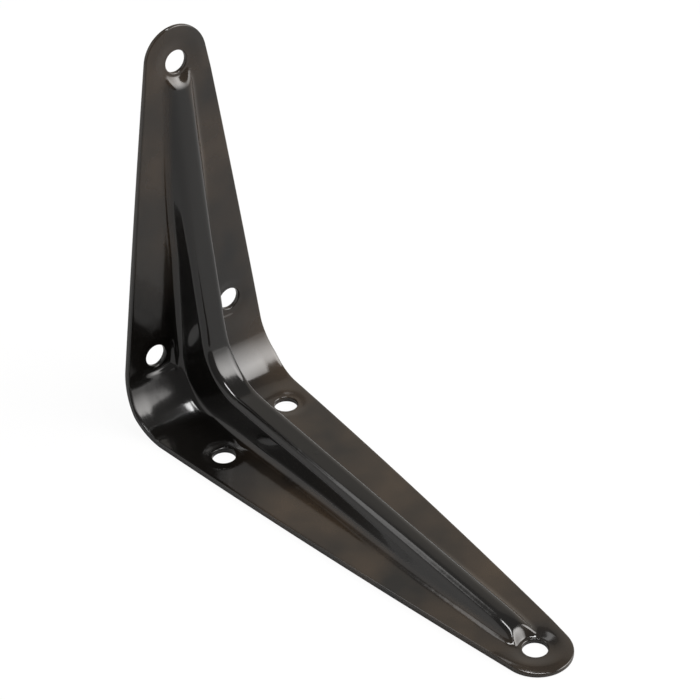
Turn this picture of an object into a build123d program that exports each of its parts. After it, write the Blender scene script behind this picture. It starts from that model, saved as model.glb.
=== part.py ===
from build123d import *
import os
from math import acos, atan2, cos, hypot, radians, sin, sqrt, tan

# Shelf bracket pressed from one sheet of steel. All lengths are in millimetres.
# The short arm stands up the wall with its back on the plane x = 0, and the long arm lies
# under the shelf with its back on the plane z = 0. The origin is where those two planes
# meet, in the middle of the width. A hollow rib runs round the inside of the corner.

# Folded sheet
wall_arm = 75.0
shelf_arm = 100.0
sheet = 1.2
fold_radius = 10.8  # of the back of the sheet

# Outline of the arms
wall_tip_radius = 6.05
shelf_tip_radius = 5.9
fold_width = 31.2  # across the widest place, half way round the fold
wall_side_bulge = 0.17  # how far each long side bows out past a straight taper
shelf_side_bulge = 0.63
waist_radius = 14.0  # rounds the outline where the two tapers meet

# Rib, with heights from the plane of the backs
rib_corner_x = 9.4  # where the two crests would meet if they weren't rounded
rib_corner_z = 8.2
crest_radius = 9.4  # of the crest round the corner
wall_crest_bend = (5.45, 34.5)  # height and distance along the arm where the crest bends a little
bend_radius = 160.0  # of that bend
wall_ramp_start = (3.1, 19.5)  # height and distance from the arm's end where the rib starts to end
wall_ramp_end = 12.2  # distance from the arm's end where the rib runs out into the sheet
shelf_ramp_start = (2.95, 13.8)
shelf_ramp_end = 9.2
ramp_radius = 12.0  # between the crest and the ramp
rib_width = 6.8  # across the back, where the flanks start to turn round the corner
rib_end_width = 4.9  # across the back, where the rib runs out
flank_draft = 7.0  # degrees
flank_turn = 22.0  # distance along the arms where the flanks start to turn
flank_ease = 200.0  # radius where the flanks start to close in
shoulder_radius = 1.3  # along the crest
root_radius = 1.6  # along the foot
mouth_radius = 0.8  # along the open back of the hollow

# Screw holes: distance along the arm from the corner, then across from the middle
hole_diameter = 4.2
dish_diameter = 8.0  # of the shallow countersink
dish_depth = 0.25
wall_tip_inset = 6.5  # of the end hole from the end of the arm
shelf_tip_inset = 6.2
wall_near_hole = (12.0, -8.4)
wall_far_hole = (17.2, 8.1)
shelf_near_hole = (15.2, 9.45)
shelf_far_hole = (20.6, -8.35)

end_room = 10.0  # how far the cutting shapes run past what they cut
flank_height = 2 * end_room + sheet + root_radius  # taller than the rib from end_room below it
steep = 0.1  # a face of the rib whose normal leans less than this off the middle plane is crest
slack = 0.02  # how closely edges are told apart by their places
draft_spread = end_room * tan(radians(flank_draft))
fold_middle = fold_radius * (1 - 1 / sqrt(2))  # x and z of the back, half way round
wall_ramp_top = (wall_ramp_start[0], wall_arm - wall_ramp_start[1])  # x and z on the middle plane
shelf_ramp_top = (shelf_arm - shelf_ramp_start[1], shelf_ramp_start[0])
wall_rib_end = wall_arm - wall_ramp_end
shelf_rib_end = shelf_arm - shelf_ramp_end
reach = shelf_arm + wall_arm  # longer than the bracket any way
wall_plane = Plane(origin=(0, 0, 0), x_dir=(0, 1, 0), z_dir=(1, 0, 0))
shelf_plane = Plane(origin=(0, 0, 0), x_dir=(0, -1, 0), z_dir=(0, 0, 1))


def height_over_back(point):
    """Distance of a point from the back of the sheet, on the side of the rib."""
    if point.Z > fold_radius:
        return point.X
    if point.X > fold_radius:
        return point.Z
    return fold_radius - hypot(fold_radius - point.X, fold_radius - point.Z)


def arm_outline(length, tip_radius, bulge):
    """Face of one flattened arm, along local +Y: two bowed sides and a round tip."""
    half_fold = fold_width / 2
    tip_centre = length - tip_radius
    drop = tip_centre - fold_middle
    # The side leaves the fold at its full width and touches the tip circle.
    swing = acos(tip_radius / hypot(half_fold, drop)) - atan2(drop, half_fold)
    touch = (tip_radius * cos(swing), tip_centre + tip_radius * sin(swing))
    slope = (half_fold - touch[0]) / (touch[1] - fold_middle)
    side_middle = (
        (half_fold + touch[0]) / 2 + bulge,
        (fold_middle + touch[1]) / 2,
    )
    # Past the fold the sides run on straight, so the outline clears the other arm.
    beyond = fold_middle + fold_radius
    foot = (half_fold + slope * beyond, fold_middle - beyond)
    with BuildSketch() as outline:
        with BuildLine():
            ThreePointArc((half_fold, fold_middle), side_middle, touch)
            ThreePointArc(touch, (0, length), (-touch[0], touch[1]))
            ThreePointArc(
                (-touch[0], touch[1]),
                (-side_middle[0], side_middle[1]),
                (-half_fold, fold_middle),
            )
            Polyline(
                (-half_fold, fold_middle),
                (-foot[0], foot[1]),
                foot,
                (half_fold, fold_middle),
            )
        make_face()
    return outline.sketch


def run_on(start, end):
    """The point end_room beyond the end of the line from start to end."""
    way = Vector(*end) - Vector(*start)
    return tuple(Vector(*end) + way.normalized() * end_room)[:2]


def crest_region(inset):
    """Face on the middle plane of everything on the back's side of the crest."""
    corner = (rib_corner_x, rib_corner_z)
    wall_end = run_on(wall_ramp_top, (sheet, wall_rib_end))
    shelf_end = run_on(shelf_ramp_top, (shelf_rib_end, sheet))
    with BuildSketch() as region:
        with BuildLine():
            Polyline(
                corner,
                wall_crest_bend,
                wall_ramp_top,
                wall_end,
                (-end_room, wall_end[1]),
                (-end_room, -end_room),
                (shelf_end[0], -end_room),
                shelf_end,
                shelf_ramp_top,
                corner,
            )
        make_face()
        fillet(region.vertices().sort_by_distance(corner)[0], crest_radius)
        fillet(region.vertices().sort_by_distance(wall_crest_bend)[0], bend_radius)
        fillet(region.vertices().sort_by_distance(wall_ramp_top)[0], ramp_radius)
        fillet(region.vertices().sort_by_distance(shelf_ramp_top)[0], ramp_radius)
        if inset:
            offset(amount=-inset)
    return region.sketch


def inner_side(depth):
    """Face on the middle plane of what lies further into the corner than a depth of sheet."""
    with BuildSketch() as side:
        with BuildLine():
            FilletPolyline(
                (depth, reach), (depth, depth), (reach, depth), radius=fold_radius - depth
            )
            Polyline((reach, depth), (reach, reach), (depth, reach))
        make_face()
    return side.sketch


def rib_arm(end, inset):
    """The drafted length of rib on one arm, lying along local +Y with its height along +Z."""
    start_half = rib_width / 2 - inset + draft_spread
    end_half = rib_end_width / 2 - inset + draft_spread
    foot = flank_turn - end_room
    bend = flank_turn + flank_ease * (rib_width - rib_end_width) / (end - flank_turn) / 2
    far = run_on((start_half, bend), (end_half, end))
    with BuildPart() as arm:
        with BuildSketch(Plane.XY.offset(-end_room)) as plan:
            Polygon(
                (start_half, foot),
                (start_half, bend),
                far,
                (-far[0], far[1]),
                (-start_half, bend),
                (-start_half, foot),
                align=None,
            )
            fillet(plan.vertices().filter_by_position(Axis.Y, bend, bend), flank_ease)
        extrude(amount=flank_height, taper=flank_draft)
        split(bisect_by=Plane.XZ.offset(-flank_turn), keep=Keep.BOTTOM)
    return arm.part


def rib_lump(inset):
    """The rib as a solid lump. An inset of one sheet gives the hollow inside it."""
    low_half = rib_width / 2 - inset + draft_spread
    top_half = low_half - flank_height * tan(radians(flank_draft))
    top = flank_height - end_room
    wall_length = rib_arm(wall_rib_end, inset)
    shelf_length = rib_arm(shelf_rib_end, inset)
    under_crest = crest_region(inset)
    with BuildPart() as lump:
        with BuildSketch(Plane.XY.offset(flank_turn)):
            Polygon(
                (-end_room, low_half),
                (-end_room, -low_half),
                (top, -top_half),
                (top, top_half),
                align=None,
            )
        revolve(axis=Axis((flank_turn, 0, flank_turn), (0, -1, 0)), revolution_arc=90)
        with Locations(wall_plane):
            add(wall_length)
        with Locations(shelf_plane):
            add(shelf_length)
        with BuildSketch(Plane.XZ):
            add(under_crest)
        extrude(amount=rib_width, both=True, mode=Mode.INTERSECT)
    return lump.part


def rib_outside():
    """The rib's outer form, from the middle of the sheet up, with its crest rounded."""
    whole = rib_lump(0)
    over_sheet = inner_side(sheet / 2)
    with BuildPart() as rib:
        add(whole)
        with BuildSketch(Plane.XZ):
            add(over_sheet)
        extrude(amount=rib_width, both=True, mode=Mode.INTERSECT)
        crest = [
            face
            for face in rib.faces()
            if abs(face.normal_at().Y) < steep and height_over_back(face.center()) > sheet / 2 + slack
        ]
        shoulders = [
            edge
            for face in crest
            for edge in face.edges()
            if abs((edge @ 0.5).Y) > shoulder_radius / 2
        ]
        fillet(shoulders, shoulder_radius)
    return rib.part


def rim_of_rib(bracket_edges, depth):
    """The edges where the rib meets the surface at one depth of the sheet."""
    beside_rib = rib_width / 2 + sheet
    return [
        edge
        for edge in bracket_edges
        if abs(height_over_back(edge @ 0.5) - depth) < slack
        and abs((edge @ 0).Y) < beside_rib
        and abs((edge @ 0.5).Y) < beside_rib
    ]


def screw_hole():
    """Cutter for one hole, down local -Z from the front of the sheet."""
    with BuildPart() as cutter:
        with BuildSketch(Plane.XZ):
            Polygon(
                (0, root_radius),
                (dish_diameter / 2, root_radius),
                (dish_diameter / 2, 0),
                (hole_diameter / 2, -dish_depth),
                (hole_diameter / 2, -2 * sheet),
                (0, -2 * sheet),
                align=None,
            )
        revolve(axis=Axis.Z)
    return cutter.part


wall_holes = [wall_near_hole, wall_far_hole, (wall_arm - wall_tip_inset, 0)]
shelf_holes = [shelf_near_hole, shelf_far_hole, (shelf_arm - shelf_tip_inset, 0)]
wall_blank = arm_outline(wall_arm, wall_tip_radius, wall_side_bulge)
shelf_blank = arm_outline(shelf_arm, shelf_tip_radius, shelf_side_bulge)
rib = rib_outside()
hollow = rib_lump(sheet)
hole_cutter = screw_hole()

with BuildPart() as bracket:
    with BuildSketch(Plane.XZ):
        with BuildLine():
            FilletPolyline((0, wall_arm), (0, 0), (shelf_arm, 0), radius=fold_radius)
            Line((shelf_arm, 0), (shelf_arm, sheet))
            FilletPolyline(
                (sheet, wall_arm),
                (sheet, sheet),
                (shelf_arm, sheet),
                radius=fold_radius - sheet,
            )
            Line((sheet, wall_arm), (0, wall_arm))
        make_face()
    extrude(amount=fold_width, both=True)
    with BuildSketch(wall_plane):
        add(wall_blank)
    extrude(amount=reach, mode=Mode.INTERSECT)
    with BuildSketch(shelf_plane):
        add(shelf_blank)
    extrude(amount=reach, mode=Mode.INTERSECT)
    waists = [
        edge
        for edge in bracket.edges()
        if edge.length < 2 * sheet and abs((edge @ 0.5).X - (edge @ 0.5).Z) < sheet
    ]
    fillet(waists, waist_radius)
    add(rib)
    fillet(rim_of_rib(bracket.edges(), sheet), root_radius)
    add(hollow, mode=Mode.SUBTRACT)
    fillet(rim_of_rib(bracket.edges(), 0), mouth_radius)
    with Locations(wall_plane.offset(sheet)):
        with Locations([(across, along) for along, across in wall_holes]):
            add(hole_cutter, mode=Mode.SUBTRACT)
    with Locations(shelf_plane.offset(sheet)):
        with Locations([(-across, along) for along, across in shelf_holes]):
            add(hole_cutter, mode=Mode.SUBTRACT)

bracket.part.label = "bracket"
os.makedirs("parts", exist_ok=True)
export_step(bracket.part, "parts/bracket.step")
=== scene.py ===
"""Pressed steel shelf bracket in black enamel, on a pale floor under soft studio light."""

from typing import NamedTuple

import bmesh
import bpy
import numpy as np
from bpy.props import FloatProperty, FloatVectorProperty, PointerProperty
from mathutils import Euler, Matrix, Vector


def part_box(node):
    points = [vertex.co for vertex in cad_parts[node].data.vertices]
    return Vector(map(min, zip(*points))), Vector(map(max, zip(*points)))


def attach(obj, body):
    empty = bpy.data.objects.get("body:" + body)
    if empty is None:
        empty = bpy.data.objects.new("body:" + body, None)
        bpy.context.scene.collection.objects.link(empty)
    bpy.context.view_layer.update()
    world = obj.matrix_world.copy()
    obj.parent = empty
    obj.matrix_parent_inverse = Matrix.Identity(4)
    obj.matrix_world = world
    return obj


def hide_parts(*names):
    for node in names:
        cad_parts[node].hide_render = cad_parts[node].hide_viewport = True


bl_info = {
    "name": "Pressed shelf bracket",
    "version": (1, 0, 0),
    "blender": (4, 5, 0),
    "location": "View3D > Sidebar > Bracket",
    "description": "Builds an enamelled shelf bracket with a hollow rib, and its studio",
    "category": "Add Mesh",
}

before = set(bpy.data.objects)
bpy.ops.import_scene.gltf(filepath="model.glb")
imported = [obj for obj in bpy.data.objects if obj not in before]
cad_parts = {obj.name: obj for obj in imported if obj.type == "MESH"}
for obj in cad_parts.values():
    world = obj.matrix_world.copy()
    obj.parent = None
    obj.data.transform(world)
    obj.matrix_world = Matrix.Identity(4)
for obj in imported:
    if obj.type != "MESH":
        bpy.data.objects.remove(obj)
CAD_HIGH = Vector(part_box("bracket")[1])
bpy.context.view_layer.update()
MM = 0.001


# --- Sizes and colours -----------------------------------------------------------------


def length(name, description, default):
    """A length in metres, shown with the scene's unit."""
    return FloatProperty(
        name=name, description=description, default=default, min=0.0, subtype="DISTANCE", precision=5
    )


class BracketSizes(bpy.types.PropertyGroup):
    """Sizes of the folded sheet, its rib and its holes."""

    wall_arm: length("Wall arm", "Height of the short arm", CAD_HIGH.z)
    shelf_arm: length("Shelf arm", "Reach of the long arm", CAD_HIGH.x)
    fold_width: length("Width", "Width across the fold", 31.2 * MM)
    sheet: length("Sheet", "Thickness of the steel", 1.2 * MM)
    fold_radius: length("Fold radius", "Radius of the back of the fold", 10.8 * MM)
    wall_tip: length("Wall tip radius", "Radius of the short arm's round end", 6.05 * MM)
    shelf_tip: length("Shelf tip radius", "Radius of the long arm's round end", 5.9 * MM)
    wall_bulge: length("Wall side bulge", "How far the short arm's sides bow out", 0.17 * MM)
    shelf_bulge: length("Shelf side bulge", "How far the long arm's sides bow out", 0.63 * MM)
    rim_radius: length("Rim radius", "Rounding of the cut rims under the enamel", 0.22 * MM)
    edge_build: length("Edge build-up", "How far the enamel gathers out along the cut edges", 0.15 * MM)
    burr_radius: length("Burr radius", "Rounding of the holes' far rims", 0.08 * MM)
    rib_width: length("Rib width", "Width of the rib's foot at the corner", 6.8 * MM)
    rib_end_width: length("Rib end width", "Width of the rib's foot at its ends", 4.9 * MM)
    rib_turn: length("Rib turn", "How far along the arms the flanks turn the corner", 22.0 * MM)
    shoulder_radius: length("Shoulder radius", "Rounding along the rib's crest", 1.3 * MM)
    low_shoulder: length("Low shoulder radius", "Rounding of the crest where the rib is low", 1.7 * MM)
    root_radius: length("Root radius", "Rounding along the rib's foot", 1.6 * MM)
    hole_radius: length("Hole radius", "Radius of the screw holes", 2.1 * MM)
    dish_radius: length("Dish radius", "Radius of the dish round each hole", 4.4 * MM)
    dish_depth: length("Dish depth", "Depth of the dish", 0.25 * MM)


class EnamelSettings(bpy.types.PropertyGroup):
    """Colours and gloss of the stoved enamel."""

    colour: FloatVectorProperty(
        name="Enamel", description="Black-brown body of the enamel", subtype="COLOR",
        default=(0.0042, 0.0038, 0.0034), min=0.0, max=1.0,
    )
    # Brown of the patches on the flats, also used for the painted brown reflection on the +Y side of
    # the fold
    brown_and_reflection_colour: FloatVectorProperty(
        name="Thin enamel", description="Browner colour where the enamel lies thin", subtype="COLOR",
        default=(0.0400, 0.0270, 0.0165), min=0.0, max=1.0,
    )
    roughness: FloatProperty(
        name="Roughness", description="Roughness of the gloss", default=0.09, min=0.0, max=1.0
    )
    peel: FloatProperty(
        name="Orange peel", description="Strength of the enamel's waviness", default=0.05, min=0.0
    )


CAMERA_PLACE = (0.32732, -0.21526, 0.27860)  # metres
CAMERA_TURN = (55.304, 1.115, 51.707)  # degrees
CAMERA_LENS = 134.36  # millimetres


class Panel(NamedTuple):
    """A light panel round the point LIT, upright unless it is raised.

    It faces LIT from an azimuth and an elevation in degrees. Azimuths are counted from the shelf
    arm towards the left of someone who looks along it. Edge and core say how bright it looks at
    its edge and where it glows most, beside a white of 1.
    """

    name: str
    azimuth: float
    elevation: float
    size: tuple  # width and height in metres
    edge: float
    core: float
    colour: tuple
    shift: tuple = (0.0, 0.0)  # of its middle to its side and up, in metres
    glow: tuple = (0.5, 0.5)  # where it glows most, as shares of its width and height
    distance: float = 1.0


PANELS = (
    Panel("key", 80, 0, (1.87, 1.56), 1.2, 8.5, (1.0, 0.98, 0.96), (-0.80, 0.77), (0.65, 0.72)),
    Panel("overhead", -90, 90, (0.62, 0.13), 15.0, 18.0, (1.0, 1.0, 1.0), (0.01, 0.17)),
    Panel("strip", 180, 59, (0.75, 0.10), 1.9, 2.2, (1.0, 0.99, 0.98)),
    Panel("backdrop", 122, 0, (1.30, 1.20), 0.15, 0.35, (1.0, 0.92, 0.80), (0.0, 0.55)),
    Panel("side wall", -120, 0, (1.30, 1.30), 0.40, 0.60, (1.0, 0.98, 0.96), (0.0, 0.60)),
)
GLOW_REACH = 0.72  # how far the glow spreads over a panel, as a share of its size
LIT = (0.04, 0.0, 0.02)  # the point that the panels face, in metres
WATTS_PER_BRIGHT_AREA = 4.0  # of a lamp that looks as bright as a white of 1, by the square metre
SKY_STRENGTH = 0.28
SKY_COLOUR = (1.0, 0.98, 0.96, 1.0)
WHITE = (1.0, 1.0, 1.0, 1.0)
FLOOR_HALF = 3.0  # metres
FLOOR_COLOUR = (0.48, 0.48, 0.48, 1.0)
FLOOR_GLOW = 1.04  # brightness of the white that the camera sees mixed into the floor
FLOOR_WHITE_SHARE = 0.9

# Where the enamel is brown: in patches on the arms' flats, away from the corner, and as a painted
# reflection that brings it nearer the corner on the +Y side
FLAT_HEIGHT = 1.6 * MM  # it ends this far from the plane of the arm's back
FLAT_EDGE = 1500.0  # how sharply it ends there
BROWN_FROM = 14.0 * MM  # distance along either arm at which it sets in, on the middle plane
BROWN_EDGE = 60.0  # how fast it sets in
# The lean towards +Y is a painted reflection: brown nearer the corner and up into the fold on +Y, black
# further out on -Y
REFLECTION_LEAN = 0.9  # how much nearer the corner it sets in, for each unit of +Y
REFLECTION_RIGHT_LEAN = 0.6  # how much nearer still on the +Y side alone
REFLECTION_CLIMB = 0.35  # how far it climbs into the fold on that side, for each unit of +Y

# Crest of the rib on its middle plane: x and z of each corner in millimetres, and the radii there.
WALL_CREST = ((1.2, 75.0), (1.2, 67.7), (2.2, 67.0), (3.1, 55.3), (5.45, 34.5))
CORNER_CREST = ((9.4, 8.2),)
SHELF_CREST = ((86.4, 2.95), (92.0, 2.0), (92.6, 1.2), (100.0, 1.2))
CREST_RADII = (0.5, 0.5, 20.0, 160.0, 9.4, 20.0, 0.5, 0.5)

WIDTH_BLEND = 0.05 * MM  # over which the two arms' tapers run into each other

# The sheet round the end holes
END_DISH = 2.7 * MM  # radius at the foot of the slope that the end holes' dishes press into the rib
END_SLOPE = 0.9  # rise over run of that slope
END_BLEND = 0.4 * MM  # width over which that slope runs into the rib
TIP_DISH = 4.9 * MM  # radius of the dishes round the end holes
TIP_DISH_DEPTH = 0.40 * MM
TIP_ROLL = 0.42 * MM  # how far the sheet's front rolls over round the tips
TIP_ROLL_FROM = 4.6 * MM  # distance from the end hole at which it starts
TIP_ROLL_REACH = 1.9 * MM
TIP_ROLL_FADE = 8.0 * MM  # length along the arm, round the end hole, over which it sets in

# The rib's flanks
FLANK_DRAFT = np.radians(7.0)
SOFT_FROM = 5.0 * MM  # height of the rib at which its flanks start to lean out and its crest to round
SOFT_TO = 2.2 * MM  # height at which they have done so
SOFTENED = np.radians(24.0)  # how far the flanks lean out
CROWN = 0.42  # share of its height that the low rib loses from its middle to its foot
EASE = 1.0 * MM  # over which the flanks start to close in past the turn
LEAST_HEIGHT = 0.002 * MM  # under which there is no rib

# The apron: the sheet drawn up beside the rib inside the fold
APRON_RISE = 0.62 * MM  # at the rib's foot, in the middle of the fold
APRON_REACH = 7.2 * MM  # how far out from the foot
APRON_LENGTH = 15.0 * MM  # how far along the rib, either way from the middle of the fold
APRON_EVEN = 0.75  # share of the rise that is close to a straight slope, the rest lying at the foot

# Middle of each screw hole in millimetres: distance along its arm, then across from the middle.
WALL_HOLES = ((12.0, -8.4), (17.2, 8.1))
SHELF_HOLES = ((15.2, 9.45), (20.6, -8.35))
WALL_TIP_INSET = 6.5 * MM
SHELF_TIP_INSET = 6.2 * MM

# Mesh density
ROW_STEP = 0.40 * MM
HALF_COLUMNS = {"crest": 5, "shoulder": 6, "flank": 9, "root": 7, "flange": 21}
LEAST_BAND = 0.5 * MM  # width that each band of columns keeps where the rib runs out
BLOCK_HALF = 3.25 * MM  # half the side of the square of cells that a hole replaces
TIP_CUT = 3.4 * MM  # from the end hole's middle to the first row of cells
HOLE_RINGS = (0.3, 0.6, 0.85)  # shares of the way from a loop of cells to the circle round a hole
HOLE_CIRCLE = 0.35 * MM  # from the hole's rim to that circle
HOLE_LAST_RING = 0.15 * MM  # from the rim to the ring inside the circle
TIP_SIDE_STEPS = 15
TIP_ARC_STEPS = 61
RIM_STEPS = 4
DENSE = 6000  # points along a rounded path
ARC_POINTS = 200  # along each of its roundings


# --- Geometry helpers ------------------------------------------------------------------


def unit(vectors):
    """Vectors divided by their lengths, along the last axis."""
    return vectors / np.linalg.norm(vectors, axis=-1, keepdims=True)


def quarter_turned(vectors):
    """Plane vectors turned a quarter turn anticlockwise: (u, v) becomes (-v, u)."""
    return np.stack((-vectors[..., 1], vectors[..., 0]), axis=-1)


def rounded_path(points, radii):
    """Dense points along a polyline with rounded corners, evenly spaced by length.

    A corner that turns by an angle a gets an arc of radius r. It starts r tan(a / 2) before the
    corner, and its points are its centre plus the first spoke turned by 0 to a.
    """
    points = np.asarray(points, float)
    runs = [points[:1]]
    for before, corner, after, radius in zip(points, points[1:], points[2:], radii):
        way_in, way_out = unit(corner - before), unit(after - corner)
        turn = np.arctan2(np.dot(quarter_turned(way_in), way_out), np.dot(way_in, way_out))
        start = corner - way_in * radius * np.tan(abs(turn) / 2)
        centre = start + quarter_turned(way_in) * radius * np.sign(turn)
        swing = np.linspace(0, turn, ARC_POINTS)[:, None]
        spoke = start - centre
        runs.append(centre + np.cos(swing) * spoke + np.sin(swing) * quarter_turned(spoke))
    runs.append(points[-1:])
    path = np.concatenate(runs)
    along = np.concatenate(([0], np.cumsum(np.linalg.norm(np.diff(path, axis=0), axis=1))))
    even = np.linspace(0, along[-1], DENSE)
    return np.stack([np.interp(even, along, path[:, k]) for k in range(2)], axis=1), even


def smooth_step(value):
    """0 below 0, 1 above 1, and an S between, with level ends."""
    value = np.clip(value, 0, 1)
    return value * value * (3 - 2 * value)


def soft_minimum(a, b, width):
    """The smaller of two values, rounded where they cross: (a + b - hypot(a - b, width)) / 2."""
    return (a + b - np.sqrt((a - b) ** 2 + width**2)) / 2


class Form:
    """The bracket's form as functions of two numbers, from its sizes.

    A fan of rulings covers the middle plane: level across the wall arm, upright across the shelf
    arm, and turning about the point (turn, turn) between. A ruling is named by how far along the
    fan it lies, and a point on it by its distance out from the fan's inner line.
    """

    def __init__(self, sizes):
        self.sizes = sizes
        self.turn = sizes.rib_turn
        tip = sizes.wall_arm - WALL_TIP_INSET
        self.top = tip - TIP_CUT
        self.end = sizes.shelf_arm - SHELF_TIP_INSET - TIP_CUT
        t, bend = sizes.sheet, sizes.fold_radius - sizes.sheet
        beyond = 2 * TIP_CUT + sizes.wall_tip
        self.front, run = rounded_path(
            ((t, self.top + beyond), (t, t), (self.end + beyond, t)), (bend,)
        )
        self.run = run - beyond
        tangent = unit(np.gradient(self.front, axis=0))
        self.normal = quarter_turned(tangent)
        crest_points = np.array(WALL_CREST + CORNER_CREST + SHELF_CREST) * MM
        crest, _ = rounded_path(crest_points, np.array(CREST_RADII) * MM)
        self.crest_along, self.crest_out = self.to_fan(crest)
        self.length = self.run[-1] - beyond

    def to_fan(self, points):
        """Fan numbers of points on the middle plane."""
        x, z = points[..., 0], points[..., 1]
        turn = self.turn
        swing = np.arctan2(turn - z, turn - x)
        quarter = turn * np.pi / 2
        along = np.where(z >= turn, turn - z, np.where(x >= turn, quarter + x - turn, turn * swing))
        out = np.where(
            z >= turn, turn - x, np.where(x >= turn, turn - z, np.hypot(turn - x, turn - z))
        )
        return along, out

    def from_fan(self, along, out):
        """Points on the middle plane from fan numbers."""
        turn = self.turn
        swing = np.clip(along / turn, 0, np.pi / 2)
        x = turn - out * np.cos(swing) + np.maximum(along - turn * np.pi / 2, 0)
        z = turn - out * np.sin(swing) + np.maximum(-along, 0)
        return x, z

    def on_front(self, run):
        """Points of the sheet's front on the middle plane, and the normals there."""
        point = np.stack([np.interp(run, self.run, self.front[:, k]) for k in range(2)], axis=-1)
        normal = np.stack([np.interp(run, self.run, self.normal[:, k]) for k in range(2)], axis=-1)
        return point, unit(normal)

    def taper(self, arm, tip):
        """Where an arm's straight side starts, how far on its round tip's centre is, and its lean.

        The side runs from the fold's middle, at half the fold's width, to where it touches the
        tip. The lean is the angle by which it closes in.
        """
        s = self.sizes
        middle = s.fold_radius * (1 - np.sqrt(0.5))
        drop, side = arm - tip - middle, s.fold_width / 2
        return middle, drop, np.arccos(tip / np.hypot(side, drop)) - np.arctan2(drop, side)

    def half_width(self, run):
        """Half the width of the blank: two tapers that bow out, and their smaller where they meet."""
        s = self.sizes
        point, _ = self.on_front(run)
        half = []
        for arm, tip, bulge, along in (
            (s.wall_arm, s.wall_tip, s.wall_bulge, point[..., 1]),
            (s.shelf_arm, s.shelf_tip, s.shelf_bulge, point[..., 0]),
        ):
            middle, drop, lean = self.taper(arm, tip)
            side = s.fold_width / 2
            touch = tip * np.cos(lean)
            share = (along - middle) / (drop + tip * np.sin(lean))
            bow = 4 * bulge * np.clip(share, 0, 1) * np.clip(1 - share, 0, 1)
            half.append(side + (touch - side) * share + bow)
        return soft_minimum(half[0], half[1], WIDTH_BLEND) + s.edge_build

    def rib(self, run):
        """Sizes of the rib's half section on each ruling, measured from the front of the sheet.

        Both roundings turn by the same angle, up to the flank's own slope. Where the rib is too
        low for that, the angle a is what two arcs need to rise by its height h:
        h = (shoulder + root) (1 - cos a).
        """
        s = self.sizes
        point, _ = self.on_front(run)
        along, out = self.to_fan(point)
        height = np.maximum(out - np.interp(along, self.crest_along, self.crest_out), 0)
        height = np.where(height < LEAST_HEIGHT, 0, height)
        past_wall = np.maximum(-along, 0)
        past_shelf = np.maximum(along - self.turn * np.pi / 2, 0)
        wall_slope = (s.rib_width - s.rib_end_width) / 2 / (WALL_CREST[1][1] * MM - self.turn)
        shelf_slope = (s.rib_width - s.rib_end_width) / 2 / (SHELF_CREST[-2][0] * MM - self.turn)
        closing = wall_slope * self.eased(past_wall) + shelf_slope * self.eased(past_shelf)
        draft = np.tan(FLANK_DRAFT)
        foot = s.rib_width / 2 - closing + (out - self.turn) * draft
        low = smooth_step((SOFT_FROM - height) / (SOFT_FROM - SOFT_TO))
        steepest = np.pi / 2 - FLANK_DRAFT
        crest = foot - height * draft - s.shoulder_radius * np.tan(steepest / 2)
        steepest = steepest - low * SOFTENED
        shoulder = s.shoulder_radius + low * (s.low_shoulder - s.shoulder_radius)
        both = shoulder + s.root_radius
        angle = np.arccos(np.clip(1 - height / both, np.cos(steepest), 1))
        flank = np.maximum(height - both * (1 - np.cos(steepest)), 0) / np.sin(steepest)
        return {
            "height": height, "angle": angle, "flank": flank, "crest": crest, "shoulder": shoulder,
            "out": out, "along": along, "crown": CROWN * low,
            "foot": crest + both * np.sin(angle) + flank * np.cos(angle),
        }

    @staticmethod
    def eased(distance):
        """A distance that starts as a parabola and goes on as a line."""
        return np.where(distance < 2 * EASE, distance**2 / (4 * EASE), distance - EASE)

    def section(self, rib, travel):
        """Across and height of points that have travelled so far out along the half section."""
        shoulder, root = rib["shoulder"], self.sizes.root_radius
        angle = rib["angle"]
        lengths = (rib["crest"], shoulder * angle, rib["flank"], root * angle)
        parts = []
        for one in lengths:
            parts.append(np.clip(travel, 0, one))
            travel = travel - one
        rest = np.maximum(travel, 0)
        over, down = parts[1] / shoulder, angle - parts[3] / root
        across = parts[0] + shoulder * np.sin(over) + parts[2] * np.cos(angle)
        across = across + root * (np.sin(angle) - np.sin(down)) + rest
        height = rib["height"] - shoulder * (1 - np.cos(over)) - parts[2] * np.sin(angle)
        height = height - root * (np.cos(down) - np.cos(angle))
        return across, self.crowned(rib, across, height)

    @staticmethod
    def crowned(rib, across, height):
        """Height of the section's points where the rib is low and domed from side to side."""
        return height * (1 - rib["crown"] * np.clip(across / rib["foot"], -1, 1) ** 2)

    def low_height(self, run, across):
        """Height of the rib over the sheet at given places, where it is low and has no flank."""
        rib = self.rib(run)
        shoulder, root = rib["shoulder"], self.sizes.root_radius
        side = np.abs(across) - rib["crest"]
        turned = shoulder * np.sin(rib["angle"])
        full = (shoulder + root) * np.sin(rib["angle"])
        over = shoulder * (1 - np.sqrt(1 - np.clip(side / shoulder, 0, 0.999) ** 2))
        under = root * (1 - np.sqrt(1 - np.clip((full - side) / root, 0, 0.999) ** 2))
        height = np.where(side < turned, rib["height"] - over, under)
        height = self.crowned(rib, across, height)
        return self.end_dish(run, across, np.where(side > full, 0, np.maximum(height, 0)))

    def end_dish(self, run, across, height):
        """Height of the rib where the end holes' dishes press its ends down."""
        for middle, side in self.holes()[-2:]:
            away = np.hypot(run - middle, across - side)
            room = END_SLOPE * (away - END_DISH)
            height = np.clip(soft_minimum(height, room, END_BLEND * (height > 0)), 0, height)
        return height

    def apron(self, rib, across):
        """How far the sheet beside the rib is drawn up inside the fold."""
        middle = self.turn * np.pi / 4
        along = 1 - smooth_step(np.abs(rib["along"] - middle) / APRON_LENGTH)
        foot = rib["foot"]
        left = 1 - np.clip((np.abs(across) - foot) / APRON_REACH, 0, 1)
        on_rib = np.clip((np.abs(across) - rib["crest"]) / (foot - rib["crest"]), 0, 1)
        profile = APRON_EVEN * left**1.2 + (1 - APRON_EVEN) * left**6
        return APRON_RISE * along * profile * smooth_step(on_rib)

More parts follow.
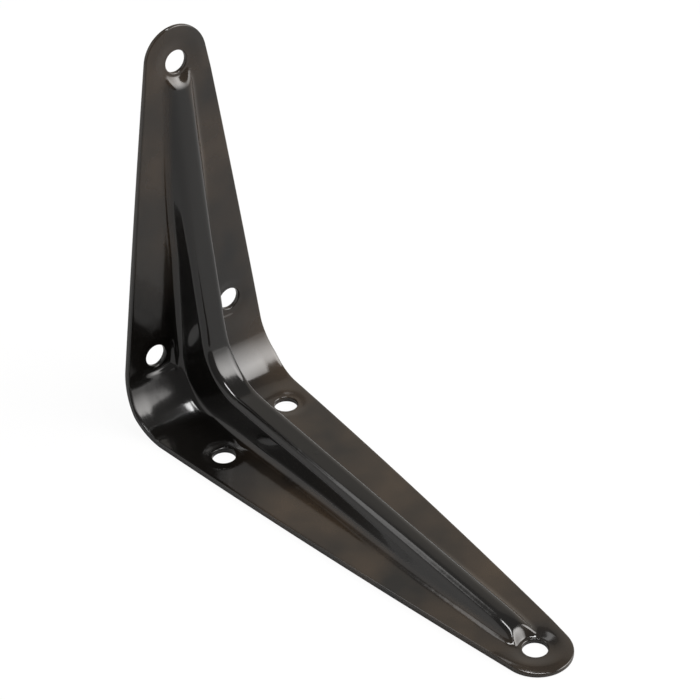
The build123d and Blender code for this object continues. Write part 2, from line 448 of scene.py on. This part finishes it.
    def place(self, run, across, depth):
        """Points of space at a run, a distance across, and a depth under the sheet's front."""
        point, normal = self.on_front(run)
        flat = point - normal * depth[..., None]
        return np.stack((flat[..., 0], across, flat[..., 1]), axis=-1)

    def holes(self):
        """Run and across of each screw hole, the two in the tips last."""
        s = self.sizes
        bend = (s.fold_radius - s.sheet) * np.pi / 2
        fold = self.top - s.fold_radius
        wall = [(self.top - z * MM, y * MM) for z, y in WALL_HOLES]
        shelf = [(fold + bend + x * MM - s.fold_radius, y * MM) for x, y in SHELF_HOLES]
        return wall + shelf + [(-TIP_CUT, 0.0), (self.length + TIP_CUT, 0.0)]

    def dish(self, run, across):
        """Depth of the front under its plane: each dish falls to its hole along an S.

        Past the end holes, the front also rolls over towards the edge of the tip.
        """
        s = self.sizes
        depth = np.zeros(np.broadcast(run, across).shape)
        brim = s.hole_radius + s.rim_radius
        holes = self.holes()
        dishes = [(s.dish_radius, s.dish_depth)] * (len(holes) - 2) + [(TIP_DISH, TIP_DISH_DEPTH)] * 2
        for (middle, side), (reach, deep) in zip(holes, dishes):
            away = np.hypot(run - middle, across - side)
            depth = np.maximum(depth, deep * smooth_step((reach - away) / (reach - brim)))
        for (middle, side), outwards in zip(holes[-2:], (-1, 1)):
            away = np.hypot(run - middle, across - side)
            roll = smooth_step((away - TIP_ROLL_FROM) / TIP_ROLL_REACH)
            past = outwards * (run - middle)
            depth = depth + TIP_ROLL * roll * smooth_step(0.5 + past / TIP_ROLL_FADE)
        return depth


class Shell:
    """Collects points and four-sided faces of one mesh."""

    def __init__(self):
        self.points, self.faces, self.count = [], [], 0

    def add_points(self, points):
        """Adds an array of points and returns their numbers in the same shape."""
        flat = points.reshape(-1, 3)
        numbers = np.arange(self.count, self.count + len(flat)).reshape(points.shape[:-1])
        self.points.append(flat)
        self.count += len(flat)
        return numbers

    def add_faces(self, numbers, keep=None, closed=False):
        """Adds a face for each cell of a grid of point numbers."""
        if closed:
            numbers = np.concatenate((numbers, numbers[:, :1]), axis=1)
        quads = np.stack((numbers[:-1, :-1], numbers[1:, :-1], numbers[1:, 1:], numbers[:-1, 1:]), -1)
        self.faces.append(quads[keep] if keep is not None else quads.reshape(-1, 4))

    def to_object(self, name):
        """The finished mesh as an object, merged, facing outwards and shaded smooth."""
        mesh = bpy.data.meshes.new(name)
        points, faces = np.concatenate(self.points), np.concatenate(self.faces)
        mesh.from_pydata(points.tolist(), [], faces.tolist())
        work = bmesh.new()
        work.from_mesh(mesh)
        bmesh.ops.delete(work, geom=[v for v in work.verts if not v.link_faces], context="VERTS")
        bmesh.ops.recalc_face_normals(work, faces=work.faces)
        work.to_mesh(mesh)
        work.free()
        mesh.shade_smooth()
        obj = bpy.data.objects.new(name, mesh)
        bpy.context.scene.collection.objects.link(obj)
        return obj


def section_grid(form, runs):
    """Travel across the section for each row and column, from the middle out to the rim.

    Each band of the section has a fixed number of columns. Where a band shrinks to nothing at
    the rib's ends, it keeps a least width and takes it from the flange.
    """
    s = form.sizes
    rib = {key: value[:, None] for key, value in form.rib(runs).items()}
    widths = (
        rib["crest"],
        np.maximum(rib["shoulder"] * rib["angle"], LEAST_BAND),
        np.maximum(rib["flank"], LEAST_BAND),
        np.maximum(s.root_radius * rib["angle"], LEAST_BAND),
    )
    inner = rib["crest"] + (rib["shoulder"] + s.root_radius) * rib["angle"] + rib["flank"]
    root_across, _ = form.section(rib, inner)
    rim = form.half_width(runs)[:, None] - s.rim_radius + inner - root_across
    travel, start = [np.zeros_like(rim)], np.zeros_like(rim)
    for width, count in zip(widths, list(HALF_COLUMNS.values())[:-1]):
        travel.append(start + width * np.linspace(0, 1, count + 1)[1:])
        start = start + width
    travel.append(start + (rim - start) * np.linspace(0, 1, HALF_COLUMNS["flange"] + 1)[1:])
    travel = np.concatenate(travel, axis=1)
    across, height = form.section(rib, travel)
    height = form.end_dish(runs[:, None], across, height) + form.apron(rib, across)
    return rib, across, height


def grid_normals(points):
    """Normals of a surface given as a grid of points, from its ways down and across."""
    return unit(np.cross(np.gradient(points, axis=0), np.gradient(points, axis=1)))


def tip_outline(form, at_shelf):
    """Run and across of the points round an arm's tip, from its right side to its left."""
    s = form.sizes
    arm = s.shelf_arm if at_shelf else s.wall_arm
    cut = form.end if at_shelf else form.top
    tip = s.shelf_tip if at_shelf else s.wall_tip
    _, _, lean = form.taper(arm, tip)
    radius = tip + s.edge_build - s.rim_radius
    centre = arm - tip - cut
    straight = centre + radius * np.sin(lean)
    run = np.linspace(0, straight, TIP_SIDE_STEPS)[1:-1]
    past = form.length + run if at_shelf else -run
    edge = form.half_width(past) - s.rim_radius
    arc = np.linspace(lean, np.pi - lean, TIP_ARC_STEPS)
    along = np.concatenate((run, centre + radius * np.sin(arc), run[::-1]))
    across = np.concatenate((edge, radius * np.cos(arc), -edge[::-1]))
    run = form.length + along if at_shelf else -along
    return run, across


def pierce(shell, form, loop, hole, front, back):
    """Closes a loop of cells onto a screw hole, through the sheet and out at the back.

    The loop's points slide along straight lines to a circle. Further rings shrink the circle to
    the hole's rim, roll over it, go down the bore and come back out to the loop at the back.
    """
    s = form.sizes
    run, across = loop
    centre_run, centre_across = hole
    way = unit(np.stack((run - centre_run, across - centre_across), axis=-1))
    start = np.hypot(run - centre_run, across - centre_across)
    bore, rim = s.hole_radius, s.rim_radius
    circle = bore + rim + HOLE_CIRCLE
    radii = [start + (circle - start) * share for share in HOLE_RINGS]
    radii += [np.full_like(start, r) for r in (circle, bore + rim + HOLE_LAST_RING, bore + rim)]
    radii = np.array(radii)
    runs = centre_run + radii * way[:, 0]
    sides = centre_across + radii * way[:, 1]
    lift = form.low_height(runs, sides)
    face = form.place(runs, sides, form.dish(runs, sides) - lift)
    under = form.place(runs, sides, s.sheet - lift)[::-1]
    roll = np.linspace(0, np.pi / 2, RIM_STEPS + 1)[1:]
    bore_radii = np.concatenate(
        (bore + rim * (1 - np.sin(roll)), bore + s.burr_radius * (1 - np.sin(roll[::-1])))
    )
    deep = form.dish(runs[-1], sides[-1]).max()
    bore_depths = np.concatenate(
        (
            deep + rim * (1 - np.cos(roll)),
            s.sheet - s.burr_radius * (1 - np.cos(roll[::-1])),
        )
    )
    wall_runs = centre_run + bore_radii[:, None] * way[:, 0]
    wall_sides = centre_across + bore_radii[:, None] * way[:, 1]
    wall = form.place(wall_runs, wall_sides, bore_depths[:, None] + 0 * wall_runs)
    rings = shell.add_points(np.concatenate((face, wall, under)))
    shell.add_faces(np.concatenate((front[None], rings, back[None])), closed=True)


def block_loop(grid, rows, columns):
    """The values of a grid round the edge of a block of rows and columns, once round."""
    (r0, r1), (c0, c1) = rows, columns
    return np.concatenate(
        (grid[r0:r1, c0], grid[r1, c0:c1], grid[r1:r0:-1, c1], grid[r0, c1:c0:-1])
    )


def build_bracket_mesh(sizes):
    """The whole pressing as one closed shell: front, back, rims and bores."""
    form = Form(sizes)
    shell = Shell()
    runs = np.linspace(0, form.length, int(round(form.length / ROW_STEP)) + 1)
    rib, across, height = section_grid(form, runs)
    across = np.concatenate((-across[:, :0:-1], across), axis=1)
    height = np.concatenate((height[:, :0:-1], height), axis=1)
    x, z = form.from_fan(rib["along"], rib["out"] - height)
    front_points = np.stack((x, across, z), axis=-1)
    back_points = front_points - sizes.sheet * grid_normals(front_points)
    _, flange = form.on_front(runs)
    flange = np.stack((flange[:, 0], np.zeros(len(runs)), flange[:, 1]), axis=-1)[:, None]
    run_grid = np.broadcast_to(runs[:, None], across.shape)
    dished = front_points - flange * form.dish(run_grid, across)[..., None]
    front, back = shell.add_points(dished), shell.add_points(back_points)

    keep = np.ones((front.shape[0] - 1, front.shape[1] - 1), bool)
    for hole in form.holes()[:-2]:
        row = int(round(hole[0] / form.length * (len(runs) - 1)))
        reach = int(round(BLOCK_HALF / ROW_STEP))
        rows = (row - reach, row + reach)
        c0 = int(np.argmin(np.abs(across[row] - hole[1] + BLOCK_HALF)))
        c1 = int(np.argmin(np.abs(across[row] - hole[1] - BLOCK_HALF)))
        keep[rows[0] : rows[1], c0:c1] = False
        loop = (block_loop(run_grid, rows, (c0, c1)), block_loop(across, rows, (c0, c1)))
        pierce(
            shell, form, loop, hole,
            block_loop(front, rows, (c0, c1)), block_loop(back, rows, (c0, c1)),
        )
    shell.add_faces(front, keep)
    shell.add_faces(back, keep)

    rim_front, rim_back = [], []
    for at_shelf, hole in ((True, form.holes()[-1]), (False, form.holes()[-2])):
        tip_run, tip_across = tip_outline(form, at_shelf)
        if not at_shelf:
            tip_run, tip_across = tip_run[::-1], tip_across[::-1]
        lift = form.low_height(tip_run, tip_across)
        sunk = form.dish(tip_run, tip_across)
        tip_front = shell.add_points(form.place(tip_run, tip_across, sunk - lift))
        tip_back = shell.add_points(form.place(tip_run, tip_across, sizes.sheet - lift))
        row = -1 if at_shelf else 0
        order = slice(None) if at_shelf else slice(None, None, -1)
        loop = (
            np.concatenate((run_grid[row][order], tip_run)),
            np.concatenate((across[row][order], tip_across)),
        )
        pierce(
            shell, form, loop, hole,
            np.concatenate((front[row][order], tip_front)),
            np.concatenate((back[row][order], tip_back)),
        )
        side = (-1, slice(None)) if at_shelf else (0, slice(None))
        rim_front += [tip_front, front[::-1, 0] if at_shelf else front[:, -1]]
        rim_back += [tip_back, back[::-1, 0] if at_shelf else back[:, -1]]
    add_rim(shell, sizes, np.concatenate(rim_front), np.concatenate(rim_back))
    return shell


def add_rim(shell, sizes, front, back):
    """The rounded cut edge, from the loop of front points to the loop of back points.

    Outwards is across both the loop's own direction and the line through the sheet.
    """
    points = np.concatenate(shell.points)
    face, under = points[front], points[back]
    through = unit(face - under)
    way = np.roll(face, -1, axis=0) - np.roll(face, 1, axis=0)
    outward = unit(np.cross(through, way))
    rim = sizes.rim_radius
    roll = np.linspace(0, np.pi / 2, RIM_STEPS + 1)[1:, None, None]
    over = face + rim * (np.sin(roll) * outward - (1 - np.cos(roll)) * through)
    below = under + rim * (np.sin(roll) * outward + (1 - np.cos(roll)) * through)
    rings = shell.add_points(np.concatenate((over, below[::-1])))
    shell.add_faces(np.concatenate((front[None], rings, back[None])), closed=True)


# --- Materials -------------------------------------------------------------------------


class Value:
    """A socket that carries a value, so that arithmetic on it adds Math nodes."""

    def __init__(self, shader, socket):
        self.shader, self.socket = shader, socket

    def _math(self, operation, *inputs, clamp=False):
        node = self.shader.node(
            "ShaderNodeMath", {"operation": operation, "use_clamp": clamp}, dict(enumerate(inputs))
        )
        return Value(self.shader, node.outputs[0])

    def __add__(self, other):
        return self._math("ADD", self, other)

    __radd__ = __add__

    def __sub__(self, other):
        return self._math("SUBTRACT", self, other)

    def __rsub__(self, other):
        return self._math("SUBTRACT", other, self)

    def __mul__(self, other):
        return self._math("MULTIPLY", self, other)

    __rmul__ = __mul__

    def clamped(self):
        """The value kept between 0 and 1."""
        return self._math("ADD", self, 0.0, clamp=True)

    def least(self, other):
        """The smaller of the two."""
        return self._math("MINIMUM", self, other)

    def most(self, other):
        """The larger of the two."""
        return self._math("MAXIMUM", self, other)


class Shader:
    """A material's node tree, with one method that adds any node."""

    def __init__(self, material):
        material.use_nodes = True
        self.tree = material.node_tree
        self.tree.nodes.clear()

    def node(self, kind, settings=None, inputs=None):
        """Adds a node: its settings first, then the values or links of its sockets."""
        node = self.tree.nodes.new(kind)
        for key, value in (settings or {}).items():
            setattr(node, key, value)
        for key, value in (inputs or {}).items():
            if isinstance(value, Value):
                self.tree.links.new(value.socket, node.inputs[key])
            elif isinstance(value, bpy.types.NodeSocket):
                self.tree.links.new(value, node.inputs[key])
            else:
                node.inputs[key].default_value = value
        return node

    def value(self, node, output=0):
        """One output of a node, ready for arithmetic."""
        return Value(self, node.outputs[output])

    def noise(self, place, scale, detail):
        """A cloudy pattern from 0 to 1, with so many clouds to the metre."""
        inputs = {"Vector": place, "Scale": scale, "Detail": detail}
        return self.value(self.node("ShaderNodeTexNoise", inputs=inputs))


def enamel(settings):
    """Glossy stoved enamel, gently wavy, with a few specks of dust under it.

    It is black on the rib and in the corner, and brown in patches on the flat arms; the lean of the
    brown towards +Y is a painted reflection.
    """
    material = bpy.data.materials.new("enamelled_steel")
    shader = Shader(material)
    place = shader.node("ShaderNodeTexCoord").outputs["Object"]
    broad = shader.noise(place, scale=70.0, detail=3.0)
    fine = shader.noise(place, scale=420.0, detail=2.0)
    cells = shader.node("ShaderNodeTexVoronoi", {"feature": "F1"}, {"Vector": place, "Scale": 260.0})
    specks = (0.16 - shader.value(cells, "Distance")) * 12.0
    dusty = (shader.noise(place, scale=95.0, detail=0.0) - 0.62) * 14.0
    specks = specks.clamped() * dusty.clamped()
    separate = shader.node("ShaderNodeSeparateXYZ", inputs={"Vector": place})
    x, y, z = (shader.value(separate, axis) for axis in "XYZ")
    # Brown patches on the flats; their lean towards +Y is a painted reflection
    right = y.most(0.0)
    on_flat = (1.0 - (x.least(z) - right * REFLECTION_CLIMB - FLAT_HEIGHT) * FLAT_EDGE).clamped()
    along = x.most(z) + y * REFLECTION_LEAN + right * REFLECTION_RIGHT_LEAN
    off_corner = ((along - BROWN_FROM) * BROWN_EDGE).clamped()
    brown_and_reflection = ((broad - 0.30) * 2.2).clamped() * on_flat * off_corner
    colour = shader.node(
        "ShaderNodeMix",
        {"data_type": "RGBA"},
        {0: brown_and_reflection, 6: (*settings.colour, 1.0), 7: (*settings.brown_and_reflection_colour, 1.0)},
    )
    height = broad * 0.7 + fine * 0.25 + specks * 0.2
    bump = shader.node(
        "ShaderNodeBump",
        inputs={"Strength": settings.peel, "Distance": 1.0 * MM, "Height": height},
    )
    surface = shader.node(
        "ShaderNodeBsdfPrincipled",
        inputs={
            "Base Color": colour.outputs[2],
            "Roughness": settings.roughness + broad * 0.05 + specks * 0.1,
            "Normal": bump.outputs[0],
            "IOR": 1.5,
        },
    )
    shader.node("ShaderNodeOutputMaterial", inputs={"Surface": surface.outputs[0]})
    return material


def pale_floor():
    """A floor that looks white and keeps a soft share of the part's shadow.

    The part reflects it as the matt floor that it is.
    """
    material = bpy.data.materials.new("pale_floor")
    shader = Shader(material)
    path = shader.node("ShaderNodeLightPath")
    seen = shader.value(path, "Is Camera Ray") + shader.value(path, "Is Transmission Ray")
    matt = shader.node("ShaderNodeBsdfDiffuse", inputs={"Color": FLOOR_COLOUR})
    white = shader.node("ShaderNodeEmission", inputs={"Color": WHITE, "Strength": FLOOR_GLOW})
    both = shader.node(
        "ShaderNodeMixShader",
        inputs={0: (seen * FLOOR_WHITE_SHARE).clamped(), 1: matt.outputs[0], 2: white.outputs[0]},
    )
    shader.node("ShaderNodeOutputMaterial", inputs={"Surface": both.outputs[0]})
    return material


def add_panel(scene, panel):
    """One light panel, at its place and with its glow."""
    lamp = bpy.data.lights.new(panel.name, "AREA")
    lamp.shape = "RECTANGLE"
    lamp.size, lamp.size_y = panel.size
    lamp.energy = WATTS_PER_BRIGHT_AREA * panel.size[0] * panel.size[1]
    lamp.color = panel.colour
    glow = Shader(lamp)
    place = glow.node("ShaderNodeNewGeometry").outputs["Parametric"]
    from_core = glow.node(
        "ShaderNodeVectorMath", {"operation": "SUBTRACT"}, {0: place, 1: (*panel.glow, 0.0)}
    )
    spread = glow.node(
        "ShaderNodeVectorMath",
        {"operation": "MULTIPLY"},
        {0: from_core.outputs[0], 1: (1 / GLOW_REACH, 1 / GLOW_REACH, 0.0)},
    )
    fade = glow.node(
        "ShaderNodeTexGradient", {"gradient_type": "SPHERICAL"}, {"Vector": spread.outputs[0]}
    )
    strength = panel.edge + glow.value(fade) * (panel.core - panel.edge)
    light = glow.node("ShaderNodeEmission", inputs={"Strength": strength})
    glow.node("ShaderNodeOutputLight", inputs={"Surface": light.outputs[0]})
    turn = Euler((np.radians(90 - panel.elevation), 0.0, np.radians(panel.azimuth + 90)))
    side, top, back = turn.to_matrix().transposed()
    holder = bpy.data.objects.new(panel.name, lamp)
    holder.rotation_euler = turn
    holder.location = Vector(LIT) + back * panel.distance + side * panel.shift[0] + top * panel.shift[1]
    scene.collection.objects.link(holder)


# --- Operators -------------------------------------------------------------------------


class BRACKET_OT_pressing(bpy.types.Operator):
    """Build the pressed and enamelled bracket"""

    bl_idname = "bracket.pressing"
    bl_label = "Pressed bracket"

    def execute(self, context):
        sizes, finish = context.scene.bracket_sizes, context.scene.bracket_enamel
        bracket = build_bracket_mesh(sizes).to_object("pressed_bracket")
        bracket.data.materials.append(enamel(finish))
        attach(bracket, "root")
        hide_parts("bracket")
        return {"FINISHED"}


class BRACKET_OT_studio(bpy.types.Operator):
    """Lay the floor, light it softly and place the camera"""

    bl_idname = "bracket.studio"
    bl_label = "Studio"

    def execute(self, context):
        scene = context.scene
        floor_mesh = bpy.data.meshes.new("floor")
        corners = [(FLOOR_HALF * u, FLOOR_HALF * v, 0) for u, v in ((-1, -1), (1, -1), (1, 1), (-1, 1))]
        floor_mesh.from_pydata(corners, [], [(0, 1, 2, 3)])
        floor = bpy.data.objects.new("floor", floor_mesh)
        scene.collection.objects.link(floor)
        floor_mesh.materials.append(pale_floor())

        scene.world = bpy.data.worlds.new("studio")
        scene.world.use_nodes = True
        sky = Shader(scene.world)
        light = sky.node("ShaderNodeBackground", inputs={"Color": SKY_COLOUR, "Strength": SKY_STRENGTH})
        sky.node("ShaderNodeOutputWorld", inputs={"Surface": light.outputs[0]})

        camera = bpy.data.objects.new("camera", bpy.data.cameras.new("camera"))
        camera.location = CAMERA_PLACE
        camera.rotation_euler = Euler(np.radians(CAMERA_TURN))
        camera.data.lens = CAMERA_LENS
        camera.data.clip_start = 0.01
        scene.collection.objects.link(camera)
        scene.camera = camera
        for panel in PANELS:
            add_panel(scene, panel)
        scene.view_settings.view_transform = "Standard"
        return {"FINISHED"}


class BRACKET_PT_panel(bpy.types.Panel):
    """Lists the bracket's pieces and sizes"""

    bl_idname = "BRACKET_PT_panel"
    bl_label = "Pressed bracket"
    bl_space_type = "VIEW_3D"
    bl_region_type = "UI"
    bl_category = "Bracket"

    def draw(self, context):
        layout = self.layout
        for settings in (context.scene.bracket_sizes, context.scene.bracket_enamel):
            for name in settings.bl_rna.properties.keys():
                if name not in ("rna_type", "name"):
                    layout.prop(settings, name)
        for operator in (BRACKET_OT_pressing, BRACKET_OT_studio):
            layout.operator(operator.bl_idname)


CLASSES = (BracketSizes, EnamelSettings, BRACKET_OT_pressing, BRACKET_OT_studio, BRACKET_PT_panel)


def register():
    """Makes the classes known and gives the scene its settings."""
    for item in CLASSES:
        bpy.utils.register_class(item)
    bpy.types.Scene.bracket_sizes = PointerProperty(type=BracketSizes)
    bpy.types.Scene.bracket_enamel = PointerProperty(type=EnamelSettings)


def unregister():
    """Undoes register."""
    del bpy.types.Scene.bracket_sizes
    del bpy.types.Scene.bracket_enamel
    for item in reversed(CLASSES):
        bpy.utils.unregister_class(item)


def main():
    """Registers the classes, then builds every piece and the studio."""
    register()
    bpy.ops.bracket.pressing()
    bpy.ops.bracket.studio()


if __name__ == "__main__":
    main()
